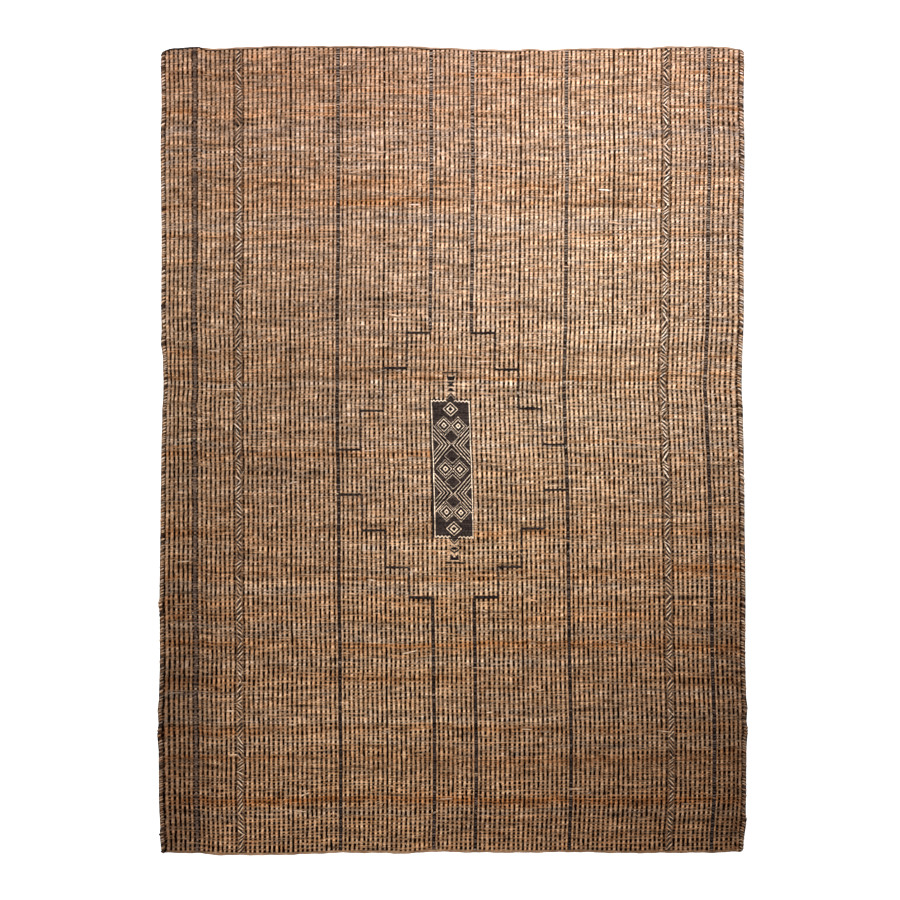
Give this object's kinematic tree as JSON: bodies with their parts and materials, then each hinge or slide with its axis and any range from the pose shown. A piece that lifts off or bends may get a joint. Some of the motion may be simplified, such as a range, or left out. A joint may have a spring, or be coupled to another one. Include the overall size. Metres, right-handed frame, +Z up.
{
  "type": "flatwoven jute rug",
  "caption": "Flat rectangular jute rug, flatwoven with lengthwise ribs, dark line and lozenge pattern, and a narrow cloth tape sewn under each end.",
  "frame": {"origin": "middle of the underside, on the floor that the rug lies on", "axes": "+Z up, +Y along the rug towards its far end, +X across it to the right"},
  "size_m": [1.7242, 2.364, 0.0095],
  "materials": {
    "jute_weave": "matt handspun jute weft on near-black warp, flatwoven in lengthwise ribs, charcoal pattern lines",
    "tape_cloth": "matt plain-woven brown-grey tape"
  },
  "bodies": {
    "root": {"rug": "jute_weave", "end_tape_far": "tape_cloth", "end_tape_near": "tape_cloth"}
  },
  "joints": []
}
